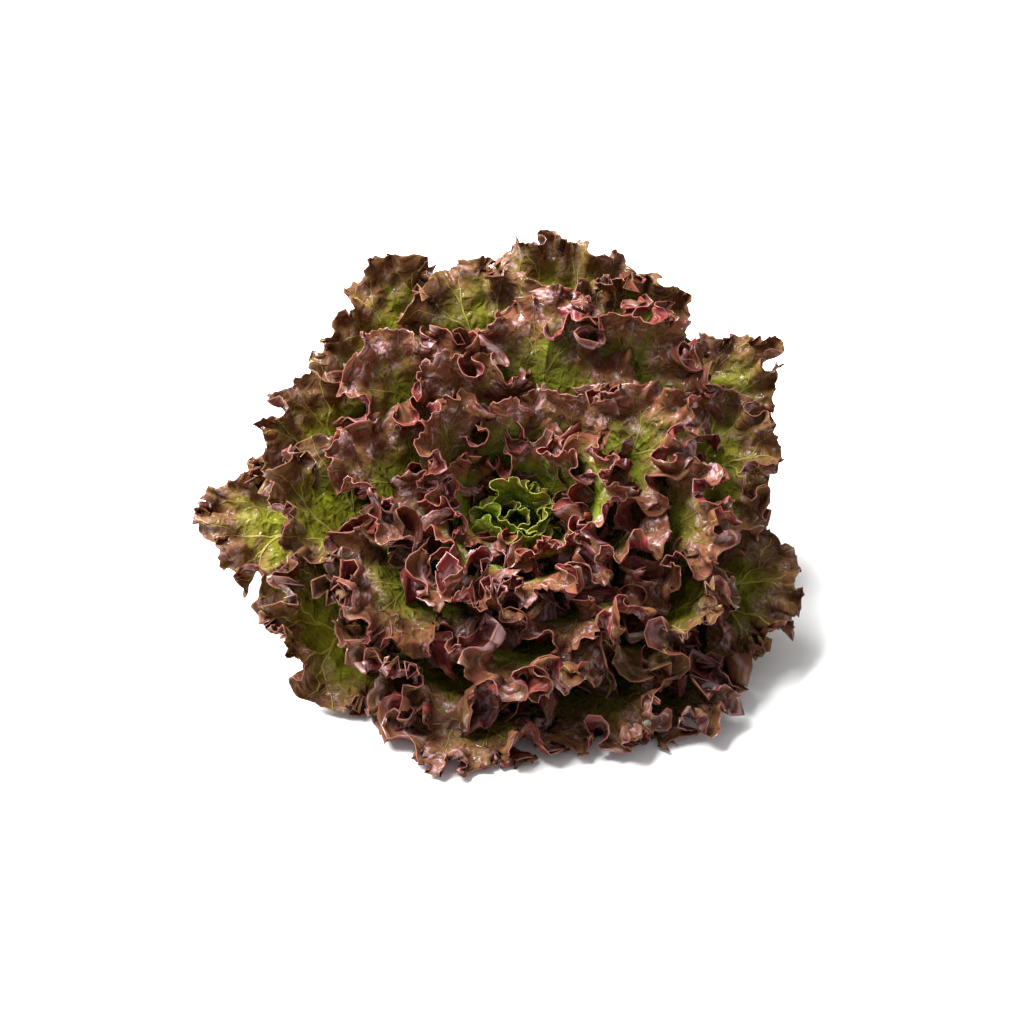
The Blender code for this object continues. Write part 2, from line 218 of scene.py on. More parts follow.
bases_material, add = new_material("leaf bases")
surface = bases_material.node_tree.nodes["Principled BSDF"]
place = add("ShaderNodeTexCoord").outputs["Object"]
height = add("ShaderNodeSeparateXYZ", {0: place}).outputs["Z"]
streak = add("ShaderNodeTexNoise", {"Vector": place, "Scale": 160.0, "Detail": 5.0}).outputs["Fac"]
pale = mix_node(add, step_node(add, height, 0.004, 0.035), BASES_LOW, BASES_HIGH)
skin = mix_node(add, step_node(add, streak, 0.45, 0.75, 0, 0.5), pale, BASES_STREAK)
bump = add("ShaderNodeBump", {"Height": streak, "Strength": 0.4, "Distance": 0.0006})
bases_material.node_tree.links.new(skin, surface.inputs["Base Color"])
bases_material.node_tree.links.new(bump.outputs[0], surface.inputs["Normal"])
surface.inputs["Roughness"].default_value = 0.4
add_piece("leaf_bases", base_points, turned_faces(BASE_RINGS, BASE_SIDES), bases_material)


# The leaf plan
# Leaves grow a golden angle apart, each wrapped round the axis outside the one before it. Sizes are those of
# the solids: how far a tip is from the axis and up along it, in mm, from a ring's first leaf to its last.
GOLDEN = np.radians(137.508)
START = np.radians(20)
STRAY = 0.1  # how far a leaf's direction may stray from the golden angle's, in radians
LEAVES = 46
TIP_CLEAR = 6 * MM  # every tip stands at least this far above the table
BACK_LONGER = 0.08  # leaves at the back are this share longer, and those at the front shorter
ROOT_OUT = (3 * MM, 12 * MM)  # each of these three from the youngest leaf to the oldest
ROOT_UP = (34 * MM, 10 * MM)
FOOT = (3 * MM, 8 * MM)  # half the width of a leaf's foot
UNEVEN = 0.04  # the share by which lengths differ
WIDEST, RIB = 0.62, 0.74  # shares of the length where a leaf is widest and where its midrib ends
RIB_FANS, SIDES_REACH, TAPER = 1.5, np.radians(165), 1.2  # how strips fan out, and how the margin tapers
LOBES, SCALLOP = 0.10, 0.03  # how deep the margin's lobes and scallops are, as shares of the leaf
CALM = 0.86  # the share of the margin, from the tip, on which it begins to lie calm towards the foot
ARCH_GROWS = 1.5  # the power with which a leaf's arch grows along it
MARGIN_LONG = 2.5  # the margin's length in leaf lengths
FRONT_STARTS, FRONT_FULL = -0.3, -0.9  # the sine of a leaf's direction, from which its frills are fuller
plan_draw = np.random.default_rng(7)


def between(pair, share):
    """The value at this share of the way through a pair."""
    return pair[0] + (pair[1] - pair[0]) * share


def wander(draw, count, top):
    """A soft random line in t, about -1 to 1: a few sines of random pitch and phase."""
    pitch = draw.uniform(1, top, count) * np.pi
    phase = draw.uniform(0, 2 * np.pi, count)
    return lambda t: np.sin(np.multiply.outer(t, pitch) + phase).mean(-1) * np.sqrt(count) * 0.8


def arched_chord(arch):
    """Length and lean of the chord of a unit strip whose own lean grows from nothing to arch."""
    lean = arch * np.linspace(0, 1, 101) ** ARCH_GROWS
    out, up = np.sin(lean).mean(), np.cos(lean).mean()
    return np.hypot(out, up), np.arctan2(out, up)


def planned_leaf(ring, number, share):
    """A leaf's place and size: it arches from its root so that its tip gets to where its ring says."""
    age = number / (LEAVES - 1)
    azimuth = number * GOLDEN + START + plan_draw.uniform(-STRAY, STRAY)
    tip_out = between(ring["tip_out"], share) * MM * (1 + BACK_LONGER * np.sin(azimuth))
    tip_up = between(ring["tip_up"], share) * MM
    height = tip_out * np.sin(azimuth) * np.sin(LEAN) + tip_up * np.cos(LEAN)
    tip_up += max(0.0, TIP_CLEAR - height) / np.cos(LEAN)
    root_out, root_up = between(ROOT_OUT, age), between(ROOT_UP, age)
    arch = np.radians(ring["arch"])
    chord, turn = arched_chord(arch)
    spine = np.hypot(tip_out - root_out, tip_up - root_up) / chord
    length = spine * plan_draw.uniform(1 - UNEVEN, 1 + UNEVEN)
    wave = between(ring["wave"], share) * MM
    return dict(
        ring, number=number, azimuth=azimuth, root_out=root_out, root_up=root_up, arch=arch, spine=spine,
        rise=np.arctan2(tip_out - root_out, tip_up - root_up) - turn, length=length, foot=between(FOOT, age),
        half_width=length * ring["width"], roll=ring["roll"] * MM, wave=wave,
        waves=max(5, round(length * MARGIN_LONG / wave)),
        front=smooth(FRONT_STARTS, FRONT_FULL, np.sin(azimuth)),
    )


# A leaf's surface
# A lettuce blade is thin and tender. Its margin grows faster than its middle, so it buckles into frills, and
# those into finer ruffles. A pale midrib runs up the middle and stands out on the back.
DRIFT, VARY = 1.6, 0.3  # how much the frills' phase and height wander along the margin
TIP_CALM, TIP_PART = 0.7, 0.2  # the share that frills lose at the tip, and the part of the margin round it
STEEPEST = 1.35  # the steepest a frill stands, in radians
FRILL_BEND = 1.15  # how much more than its slope a frill's outermost part bends
FRILL_PART = 0.7  # the frill takes at most this share of a strip from the midrib to the margin
FRILL_GROWS, NECKS_SHRINK = 0.2, 0.3  # shares by which the margin grows, and shrinks between crests
SLIDE = 0.17  # how far crests lean over their necks, in wave lengths
LONGEST = 1.1  # a ruffle is at most this many times as long as its row's middle one
FIRST_ZERO = 2.405  # of the Bessel function J0: at this swing a meander's two sides would close on each other
UNEVEN_RUFFLES, UNEVEN_PITCH, MOST_SWING = 0.35, 1.4, 1.45  # how swings and phases vary, and the most swing
TEETH_DEEP, TEETH_SHARP = 1.5, 0.8  # the teeth's mean depth in their ring's own, and how narrow points are
SWAYS = (4.4, 9.1, 0.6)  # the pitches of two slow waves along the margin, and the second one's share
BLISTERS, BLISTER_LONG = 14, (7, 17)  # how many crossed waves, and how long each one is in mm
MARGIN_THICK = 0.35  # mm
RIM_STARTS = 12  # mm from the margin where the blade begins to thin
RIB_STANDS, RIB_SUNK = 0.64, 0.2  # how far the midrib stands out behind, and the share that it sinks in front
RIB_TIP, RIB_THINS = 0.2, 1.2  # its width at the tip as a share of that at the foot, and how fast it thins
TIP_CROWD = 0.15  # the share by which columns crowd together at the tip
BANDS = (  # the rows of a leaf: s from, s to, how many, and how many columns apart their points are
    (0.0, 0.16, 2, 8),
    (0.16, 0.7, 13, 4),
    (0.7, 0.88, 6, 2),
    (0.88, 1.0, 6, 1),
)


def leaf_outline(leaf, turn, grow):
    """The egg-shaped margin at an angle from the tip, seen from the leaf's widest place."""
    side, ahead = np.sin(turn), np.cos(turn)
    x = side * (leaf["foot"] + (leaf["half_width"] - leaf["foot"]) * np.abs(side) ** TAPER) * grow
    return x, leaf["length"] * (WIDEST + np.where(ahead > 0, (1 - WIDEST) * grow, WIDEST) * ahead)


def flat_leaf(leaf, s, t, lobe, phase, teeth):
    """The leaf laid flat: strips run from the midrib (s 0) to the lobed margin (s 1), and t is the share of
    the margin's length from the tip, -1 and 1 being the two sides of the foot."""
    turn = np.linspace(-SIDES_REACH, SIDES_REACH, 401)
    plain_x, plain_y = leaf_outline(leaf, turn, 1)
    run = np.concatenate([[0], np.cumsum(np.hypot(np.diff(plain_x), np.diff(plain_y)))])
    grow = 1 + (LOBES * lobe + SCALLOP * np.cos(2 * phase) + teeth) * smooth(1, CALM - 0.1, np.abs(t))
    turn = np.interp(t, 2 * run / run[-1] - 1, turn)
    edge_x, edge_y = leaf_outline(leaf, turn, grow)
    rib_y = RIB * leaf["length"] * (1 - np.abs(turn / SIDES_REACH) ** RIB_FANS)
    return s * edge_x, rib_y + s * (edge_y - rib_y)


def wrapped_leaf(leaf, x, y):
    """The flat leaf arched outwards and wrapped round the head's axis, as (across, out, up)."""
    along = np.linspace(-0.1, 1.35, 146)
    lean = leaf["rise"] + leaf["arch"] * np.clip(along, 0, None) ** ARCH_GROWS
    step = (along[1] - along[0]) * leaf["spine"]
    out, up = np.cumsum(np.sin(lean)) * step, np.cumsum(np.cos(lean)) * step
    out += leaf["root_out"] - np.interp(0, along, out)
    up += leaf["root_up"] - np.interp(0, along, up)
    u = y / leaf["spine"]
    out, up = np.interp(u, along, out), np.interp(u, along, up)
    radius = np.hypot(out, leaf["roll"])
    return np.stack([radius * np.sin(x / radius), out - radius * (1 - np.cos(x / radius)), up], -1)


def unit(vectors):
    """The vectors at length 1."""
    return vectors / (np.linalg.norm(vectors, axis=-1, keepdims=True) + 1e-12)


def sheet_directions(sheet):
    """At each point of a sheet's grid, the way along the margin, the way square to the sheet, and the grid's
    pitch along the margin."""
    along = np.gradient(sheet, axis=1)
    normal = unit(np.cross(along, np.gradient(sheet, axis=0)))
    normal[0] = unit(normal[1] + normal[1, ::-1])
    return unit(along), normal, np.linalg.norm(along, axis=-1)


def frilled_leaf(leaf, s, sheet, phase, amount, inward):
    """The first frill: near the margin each strip bends up and down, and crests slide over their necks."""
    along, normal, _ = sheet_directions(sheet)
    near = smooth(1, 0, inward / np.minimum(leaf["frill_depth"] * leaf["wave"], FRILL_PART * inward[0]))
    wavy = np.sin(phase + 1 - s)
    steep = np.clip(leaf["frill"] * (1 + leaf["fuller"] * leaf["front"]) * amount, 0, STEEPEST)
    bend = FRILL_BEND * near * np.arcsin(np.sin(steep) * wavy)
    grown = 1 + near * (FRILL_GROWS - NECKS_SHRINK * (1 - wavy ** 2) * np.sin(steep) ** 2)
    strip = np.diff(sheet, axis=0)
    size = np.linalg.norm(strip, axis=-1, keepdims=True)
    strip = unit(strip)
    across = normal[1:] + normal[:-1]
    across = unit(across - strip * (across * strip).sum(-1, keepdims=True))
    bend, grown = (((row[1:] + row[:-1]) / 2)[..., None] for row in (bend, grown))
    step = size * grown * (np.cos(bend) * strip + np.sin(bend) * across)
    bent = np.concatenate([sheet[:1], sheet[:1] + np.cumsum(step, axis=0)])
    slide = SLIDE * leaf["wave"] * near * np.sin(steep) ** 2 * np.sin(2 * phase)
    return bent - along * slide[..., None]


def ruffled_leaf(leaf, sheet, t, inward, number, swing, zone, wobble, power, start):
    """Finer ruffles on the frill: the margin's line meanders, its heading swinging by an angle to each side,
    as rivers do. The numbers in pole, rise and slide are those of such a line's own series."""
    along, normal, pitch = sheet_directions(sheet)
    reach = pitch / np.gradient(t, axis=1)
    wave = np.minimum(reach, LONGEST * np.median(reach, axis=1, keepdims=True)) * 2 / number
    near = smooth(1, 0, inward / (zone * leaf["wave"])) * smooth(1, CALM, np.abs(t))
    swing = np.clip(swing * near * (1 + UNEVEN_RUFFLES * power), 0, MOST_SWING)
    pole = 1 - (swing / FIRST_ZERO) ** 2
    phase = np.pi * number * t + start + UNEVEN_PITCH * wobble
    rise = wave / (2 * np.pi) * swing / pole ** 0.77 * np.sin(phase)
    slide = wave / (2 * np.pi) * swing ** 2 / 8 / pole * np.sin(2 * phase)
    return sheet + normal * rise[..., None] - along * slide[..., None]


def blisters(x, y, draw):
    """A bumpy field between -1 and 1 on the flat leaf: crossed waves at random angles."""
    heading, phase = draw.uniform(0, np.pi, BLISTERS), draw.uniform(0, 2 * np.pi, BLISTERS)
    pitch = 2 * np.pi / (draw.uniform(*BLISTER_LONG, BLISTERS) * MM)
    total = sum(np.sin((x * np.cos(h) + y * np.sin(h)) * k + p) for h, k, p in zip(heading, pitch, phase))
    return np.tanh(total / 3)


def leaf_sheet(leaf, row, column):
    """The middle of the leaf's thickness on a grid of s rows and t columns, and what its material reads."""
    draw = np.random.default_rng(100 + leaf["number"])
    lobe, drift, vary = wander(draw, 5, 9), wander(draw, 4, 6), wander(draw, 4, 8)
    s, t = np.meshgrid(row, column, indexing="ij")
    phase = np.pi * leaf["waves"] * column + draw.uniform(0, 2 * np.pi) + DRIFT * drift(column)
    jagged = wander(draw, 6, 30)
    bite = np.pi * leaf["waves"] * leaf["teeth"] * column + 1.5 * jagged(column)
    notch = 1 - np.abs(np.sin(bite)) ** TEETH_SHARP
    teeth = leaf["tooth"] * MM / leaf["length"] * (TEETH_DEEP + jagged(1 - column)) * notch
    x, y = flat_leaf(leaf, s, t, lobe(column), phase, teeth)
    strip = np.hypot(x[-1] - x[0], y[-1] - y[0])
    inward = (1 - s) * strip
    aside = np.abs(column)
    amount = (1 + VARY * vary(column)) * smooth(1, CALM, aside) * (1 - TIP_CALM * smooth(TIP_PART, 0, aside))
    sheet = wrapped_leaf(leaf, x, y)
    _, normal, pitch = sheet_directions(sheet)
    reach = pitch / np.gradient(column)

    first, second = draw.uniform(0, 2 * np.pi, 2)
    slow, quick, less = SWAYS
    sway = leaf["sway"] * leaf["length"] * s ** 1.5 * (
        np.sin(slow * t + first) + less * np.sin(quick * t + second)
    )
    puff = leaf["puff"] * MM * blisters(x, y, draw) * smooth(0.1, 0.5, s)
    sheet = sheet + normal * (sway + puff - leaf["reflex"] * leaf["length"] * s ** 4)[..., None]
    sheet = frilled_leaf(leaf, s, sheet, phase, amount, inward)
    fuller = 1 + leaf["fuller"] * leaf["front"]
    for share, swing, zone, low, high in leaf["ruffles"]:
        swing, zone = swing * fuller, zone * fuller
        wobble, power = wander(draw, 6, low)(column), wander(draw, 6, high)(column)
        number, start = leaf["waves"] * share, draw.uniform(0, 2 * np.pi)
        sheet = ruffled_leaf(leaf, sheet, t, inward, number, swing, zone, wobble, power, start)
    flat = np.stack([x, y, np.full_like(x, leaf["number"] * 0.05)], -1) / MM
    spans = np.stack([s * strip / MM, inward / MM, reach / MM], -1)
    return s, t, sheet, flat, spans


def on_head(leaf, vectors):
    """Vectors in the leaf's own axes turned to its place on the leaning head."""
    across, out, up = np.moveaxis(vectors, -1, 0)
    c, d = np.cos(leaf["azimuth"]), np.sin(leaf["azimuth"])
    return leaned(np.stack([out * c - across * d, out * d + across * c, up], -1)) - (0, AHEAD, 0)


def leaf_faces(rows, strides, columns):
    """Faces of one side of the leaf, on rows that have a point at every so many columns, and the loop of
    points round its edge. The midrib's points serve both halves. Where a row has twice the points of the one
    before, each step is a triangle and a four-sided face with a point in the middle of its side."""
    grid, faces, count = [], [], 0
    for r in range(rows):
        places = np.arange(0, columns, strides[r]) // strides[r]
        if r == 0:
            places = np.minimum(places, places[::-1])
        grid.append(places + count)
        count += places.max() + 1
    for r in range(rows - 1):
        inner, outer = grid[r], grid[r + 1]
        if len(inner) == len(outer):
            faces += np.stack([inner[:-1], outer[:-1], outer[1:], inner[1:]], -1).tolist()
        else:
            a, b, c, m, d = inner[:-1], inner[1:], outer[:-1:2], outer[1::2], outer[2::2]
            faces += np.stack([a, c, m], -1).tolist() + np.stack([a, m, b], -1).tolist()
            faces += np.stack([b, m, d], -1).tolist()
    ends = [row[-1] for row in grid[-2:0:-1]] + [grid[0][0]] + [row[0] for row in grid[1:-1]]
    return faces, np.concatenate([grid[-1], ends]), count


def add_leaf(leaf, name, material):
    """One leaf as a thin closed blade: its sheet's points laid out to both sides, joined round the edge."""
    row = np.concatenate([np.linspace(a, b, n, endpoint=False) for a, b, n, _ in BANDS] + [[1.0]])
    strides = np.concatenate([np.full(n, stride) for _, _, n, stride in BANDS] + [[1]]).astype(int)
    steps = BANDS[0][3] * round(leaf["length"] / MM * leaf["columns"] / BANDS[0][3] / 2) * 2
    even = np.linspace(-1, 1, steps + 1)
    column = even * (1 - TIP_CROWD + TIP_CROWD * even ** 2)
    s, t, sheet, flat, spans = leaf_sheet(leaf, row, column)
    sheet = pressed(on_head(leaf, sheet))
    _, normal, _ = sheet_directions(sheet)
    faces, edge, count = leaf_faces(len(row), strides, steps + 1)
    take = [(r, np.arange(0, steps + 1, strides[r])) for r in range(len(row))]
    take[0] = (0, take[0][1][: len(take[0][1]) // 2 + 1])

    def chosen(values):
        return np.concatenate([values[r, places] for r, places in take])

    middle, square, spans, flat = chosen(sheet), chosen(normal), chosen(spans), chosen(flat)
    way = np.stack([chosen(t), chosen(s)], -1)
    blade = between((MARGIN_THICK, leaf["blade"]), smooth(0, RIM_STARTS, spans[:, 1])) * MM
    rib_width = leaf["rib"] * between((RIB_TIP, 1), np.abs(way[:, 0]) ** RIB_THINS)
    rib = RIB_STANDS * rib_width * np.exp(-((spans[:, 0] / rib_width) ** 2)) * MM
    upper = middle + square * (blade / 2 - RIB_SUNK * rib)[:, None]
    lower = middle - square * (blade / 2 + rib)[:, None]
    lower[:, 2] = np.maximum(lower[:, 2], TABLE_GAP)
    flipped = [[count + place for place in face[::-1]] for face in faces]
    nearby = np.roll(edge, -1)
    rim = np.stack([edge, edge + count, nearby + count, nearby], -1).tolist()
    twice = {
        "flat": np.concatenate([flat, flat]),
        "spans": np.concatenate([spans, spans]),
        "way": np.concatenate([np.column_stack([way, np.full(count, side)]) for side in (0.0, 1.0)]),
    }
    return add_piece(name, np.concatenate([upper, lower]), faces + flipped + rim, material, twice)


# The veins of a leaf
# A pale midrib sends side veins to the margin, which fork twice on their way, with a fine net between them,
# and the blade puffs up a little in each of its meshes. The red runs inwards from the margin in patches, with
# wet spots on it and pale lilac patches of painted sheen, where light would gloss the frills.
LATERALS = 4.5  # side veins in a unit of t
VEINS_STRAY = 0.05  # how far they stray, in t
MESH = 5.0  # mm, a mesh of the fine net
VEIN_COLOUR, NET_COLOUR, BACK_COLOUR = (0.42, 0.38, 0.08, 1), (0.30, 0.22, 0.06, 1), (0.16, 0.13, 0.04, 1)
NET_SHOWS, BACK_PALER = 0.18, 0.25
# painted sheen: a pale lilac colour in patches near the margin, standing in for the gloss of light on the
# frills
PAINTED_SHEEN_COLOUR, PAINTED_SHEEN_FROM, PAINTED_SHEEN_TO = (0.56, 0.37, 0.40, 1), 26.0, 10.0  # the last two in mm from the margin
FLECKED = 22.0  # mm by which small flecks shift the edge of the red
# the pale rim along the margin's edge is a painted highlight, this many mm wide
RIM_HIGHLIGHT_WIDE = 0.1  # mm
COAT_WEIGHT, COAT_ROUGHNESS, DRY_ROUGHNESS, WET_SMOOTHER, SPECULAR = 0.9, 0.12, 0.5, -0.2, 0.06
BUMP_HEIGHT, VEINS_SINK, GRAIN_STANDS = 0.0008, -0.6, 0.9
THROUGH_TINT = (1.0, 0.8, 0.3, 1)  # light that comes through a blade loses its blue
FRONT_FROM = -0.6  # the sine of a leaf's direction, below which it faces the viewer


def vein_group():
    """A node group: the masks of the veins and of the fine net, and the height of the blade's puffs."""
    tree = bpy.data.node_groups.new("leaf_veins", "ShaderNodeTree")
    tree.interface.new_socket("Width", in_out="INPUT", socket_type="NodeSocketFloat")
    for name in ("Vein", "Net", "Puff"):
        tree.interface.new_socket(name, in_out="OUTPUT", socket_type="NodeSocketFloat")
    add = node_adder(tree)
    given, result = add("NodeGroupInput"), add("NodeGroupOutput")
    flat = add("ShaderNodeAttribute", attribute_name="flat").outputs["Vector"]
    way = add(
        "ShaderNodeSeparateXYZ", {0: add("ShaderNodeAttribute", attribute_name="way").outputs["Vector"]}
    )
    spans = add(
        "ShaderNodeSeparateXYZ", {0: add("ShaderNodeAttribute", attribute_name="spans").outputs["Vector"]}
    )
    t, s = way.outputs[0], way.outputs[1]
    aside, reach = spans.outputs[0], spans.outputs[2]

    # each side vein is the middle of a cell in t, and forks where the cell's own distance is folded again
    stray = add("ShaderNodeTexNoise", {"Vector": flat, "Scale": 0.07, "Detail": 2.0}).outputs["Fac"]
    stray = math_node(add, "MULTIPLY", math_node(add, "SUBTRACT", stray, 0.5), VEINS_STRAY)
    cell = math_node(add, "FRACT", math_node(add, "MULTIPLY", math_node(add, "ADD", t, stray), LATERALS))
    fold = math_node(add, "ABSOLUTE", math_node(add, "SUBTRACT", cell, 0.5))
    fold = math_node(add, "ABSOLUTE", math_node(add, "SUBTRACT", fold, step_node(add, s, 0.22, 0.9, 0, 0.24)))
    fold = math_node(add, "ABSOLUTE", math_node(add, "SUBTRACT", fold, step_node(add, s, 0.5, 1.05, 0, 0.11)))
    apart = math_node(add, "MULTIPLY", math_node(add, "DIVIDE", fold, LATERALS), reach)
    width = math_node(add, "MULTIPLY", given.outputs["Width"], step_node(add, s, 0, 1, 1.3, 0.2))
    vein = step_node(add, math_node(add, "DIVIDE", apart, width), 1.0, 0.35)
    base = math_node(add, "POWER", math_node(add, "ABSOLUTE", t), 1.2)
    rib_width = math_node(add, "MULTIPLY_ADD", base, 2.4, 0.5)
    rib = step_node(add, math_node(add, "DIVIDE", aside, rib_width), 1.1, 0.6)
    tree.links.new(math_node(add, "MAXIMUM", vein, rib), result.inputs["Vein"])

    cells = add("ShaderNodeVectorMath", {0: flat, 1: (MESH,) * 3}, operation="DIVIDE").outputs[0]
    shaken = add("ShaderNodeTexNoise", {"Vector": flat, "Scale": 0.25, "Detail": 1.0}).outputs["Color"]
    shift = {0: shaken, 1: (0.7, 0.7, 0.0), 2: cells}
    cells = add("ShaderNodeVectorMath", shift, operation="MULTIPLY_ADD").outputs[0]
    meshes = add("ShaderNodeTexVoronoi", {"Vector": cells, "Scale": 1.0}, feature="DISTANCE_TO_EDGE")
    edges = meshes.outputs["Distance"]
    tree.links.new(step_node(add, edges, 0.10, 0.02), result.inputs["Net"])
    puff = math_node(add, "MULTIPLY", step_node(add, edges, 0, 0.4), math_node(add, "SUBTRACT", 1.0, vein))
    tree.links.new(puff, result.inputs["Puff"])
    return tree


veins = vein_group()


def leaf_material(name, green, deep, red, dark, rim, reach, patches, thin, vein, painted_sheen_share):
    """A blade's material: green inside, red from the margin inwards as far as reach in mm, with patches that
    shift that edge by mm too, pale veins of a width in mm, a pale rim that is a painted highlight, pale patches
    of painted sheen by a share, a paler back, and a share of light coming through."""
    material, add = new_material(name)
    tree = material.node_tree
    surface = tree.nodes["Principled BSDF"]
    way = add(
        "ShaderNodeSeparateXYZ", {0: add("ShaderNodeAttribute", attribute_name="way").outputs["Vector"]}
    )
    spans = add(
        "ShaderNodeSeparateXYZ", {0: add("ShaderNodeAttribute", attribute_name="spans").outputs["Vector"]}
    )
    flat = add("ShaderNodeAttribute", attribute_name="flat").outputs["Vector"]
    inward, under = spans.outputs[1], way.outputs[2]
    marks = add("ShaderNodeGroup", {"Width": vein}, node_tree=veins)
    cloud = add("ShaderNodeTexNoise", {"Vector": flat, "Scale": 0.06, "Detail": 5.0}).outputs["Fac"]
    grain = add("ShaderNodeTexNoise", {"Vector": flat, "Scale": 0.6, "Detail": 5.0}).outputs["Fac"]

    inner = mix_node(add, step_node(add, cloud, 0.35, 0.65), green, deep)
    blush = mix_node(add, step_node(add, grain, 0.3, 0.7), red, dark)
    shifted = math_node(add, "MULTIPLY_ADD", math_node(add, "SUBTRACT", cloud, 0.5), patches, inward)
    fleck = add("ShaderNodeTexNoise", {"Vector": flat, "Scale": 0.2, "Detail": 3.0}).outputs["Fac"]
    shifted = math_node(add, "MULTIPLY_ADD", math_node(add, "SUBTRACT", fleck, 0.5), FLECKED, shifted)
    shifted = math_node(add, "MULTIPLY_ADD", marks.outputs["Vein"], 5.0, shifted)
    redness = step_node(add, shifted, reach, reach * 0.25)
    body = mix_node(add, redness, inner, blush)
    plain = 0.35 + 1.3 * (vein - 0.5)  # wider veins are plainer
    veined = mix_node(add, math_node(add, "MULTIPLY", marks.outputs["Vein"], plain), body, VEIN_COLOUR)
    netted = mix_node(add, math_node(add, "MULTIPLY", marks.outputs["Net"], NET_SHOWS), veined, NET_COLOUR)
    backed = mix_node(add, math_node(add, "MULTIPLY", under, BACK_PALER), netted, BACK_COLOUR)
    # painted sheen: pale lilac patches near the margin, painted into the colour where light would gloss the
    # frills
    painted_sheen_mask = add("ShaderNodeTexNoise", {"Vector": flat, "Scale": 0.13, "Detail": 6.0, "Roughness": 0.65})
    painted_sheen_mask = step_node(add, painted_sheen_mask.outputs["Fac"], 0.5, 0.62)
    painted_sheen_mask = math_node(add, "MULTIPLY", painted_sheen_mask, step_node(add, inward, PAINTED_SHEEN_FROM, PAINTED_SHEEN_TO))
    painted_sheen_mask = math_node(add, "MULTIPLY", painted_sheen_mask, step_node(add, grain, 0.44, 0.56, 0.1, 1.0))
    sheen_painted = mix_node(add, math_node(add, "MULTIPLY", painted_sheen_mask, painted_sheen_share), backed, PAINTED_SHEEN_COLOUR)
    # painted highlight: the pale rim colour on the faces of the margin's edge
    rim_highlighted = mix_node(add, step_node(add, inward, RIM_HIGHLIGHT_WIDE, 0.0), sheen_painted, rim)
    tree.links.new(rim_highlighted, surface.inputs["Base Color"])

    wet = add("ShaderNodeTexNoise", {"Vector": flat, "Scale": 0.22, "Detail": 3.0}).outputs["Fac"]
    wet = math_node(add, "MULTIPLY", step_node(add, wet, 0.48, 0.6), step_node(add, grain, 0.4, 0.56))
    tree.links.new(math_node(add, "MULTIPLY", wet, COAT_WEIGHT), surface.inputs["Coat Weight"])
    surface.inputs["Coat Roughness"].default_value = COAT_ROUGHNESS
    tree.links.new(
        math_node(add, "MULTIPLY_ADD", wet, WET_SMOOTHER, DRY_ROUGHNESS), surface.inputs["Roughness"]
    )
    height = math_node(add, "MULTIPLY_ADD", marks.outputs["Vein"], VEINS_SINK, marks.outputs["Puff"])
    height = math_node(add, "MULTIPLY_ADD", grain, GRAIN_STANDS, height)
    bump = add("ShaderNodeBump", {"Height": height, "Strength": 0.8, "Distance": BUMP_HEIGHT})
    tree.links.new(bump.outputs[0], surface.inputs["Normal"])
    tree.links.new(bump.outputs[0], surface.inputs["Coat Normal"])
    surface.inputs["Specular IOR Level"].default_value = SPECULAR

    through = mix_node(add, 1.0, rim_highlighted, THROUGH_TINT, "MULTIPLY")
    through = add("ShaderNodeHueSaturation", {"Color": through, "Saturation": 1.1, "Value": 1.35}).outputs[0]
    lit = add("ShaderNodeBsdfTranslucent", {"Color": through, "Normal": bump.outputs[0]})
    both = add("ShaderNodeMixShader", {0: thin, 1: surface.outputs[0], 2: lit.outputs[0]})
    tree.links.new(both.outputs[0], tree.nodes["Material Output"].inputs[0])
    return material


def add_ring(ring, first, material, front=None):
    """A ring's leaves, from the heart out. Those that face the viewer may have a material of their own, darker
    with painted shade.
    """
    pieces = []
    for step in range(ring["count"]):
        leaf = planned_leaf(ring, first + step, step / (ring["count"] - 1))
        faces_viewer = front is not None and np.sin(leaf["azimuth"]) < FRONT_FROM
        look = front if faces_viewer else material
        pieces.append(add_leaf(leaf, f"{ring['name']}_leaf_{step + 1}", look))
    return pieces


# The heart
# The youngest leaves, small, tender and bright green, curled over each other in the middle of the rosette.
# They stand on the same stem and are only lightly frilled.
#
# Each ring gives, from its first leaf to its last, where its tips are and how long a frill is, in mm. The
# arch is in degrees, the half width, sway and reflex in leaf lengths, and the roll, puff, tooth, blade and
# rib in mm. A frill's steepness is in radians and its depth in wave lengths. There are so many columns a mm,
# and so many teeth a frill. Each size of ruffles has how many there are in a frill, its swing in radians, its
# zone in wave lengths, and how much its phase and its swing wander. Front leaves are fuller by a share.
HEART = dict(
    name="heart", count=8, tip_out=(3, 16), tip_up=(74, 82), wave=(17, 19), arch=-10, width=0.40, roll=14,
    frill=0.5, frill_depth=1.0, sway=0.05, reflex=0.02, puff=0.4, columns=5.0, teeth=5, tooth=0.8,
    ruffles=((1.65, 0.8, 0.6, 12, 14), (5, 0.4, 0.4, 24, 30)), fuller=0.0,
    blade=0.5, rib=1.2,
)
heart_material = leaf_material(
    "heart leaf", green=(0.34, 0.46, 0.03, 1), deep=(0.16, 0.28, 0.01, 1), red=(0.30, 0.20, 0.05, 1),
    dark=(0.24, 0.22, 0.03, 1), rim=(0.40, 0.44, 0.10, 1),
    reach=3.0, patches=6.0, thin=0.32, vein=0.5, painted_sheen_share=0.15,
)
heart = add_ring(HEART, 0, heart_material)
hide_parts("green_heart")


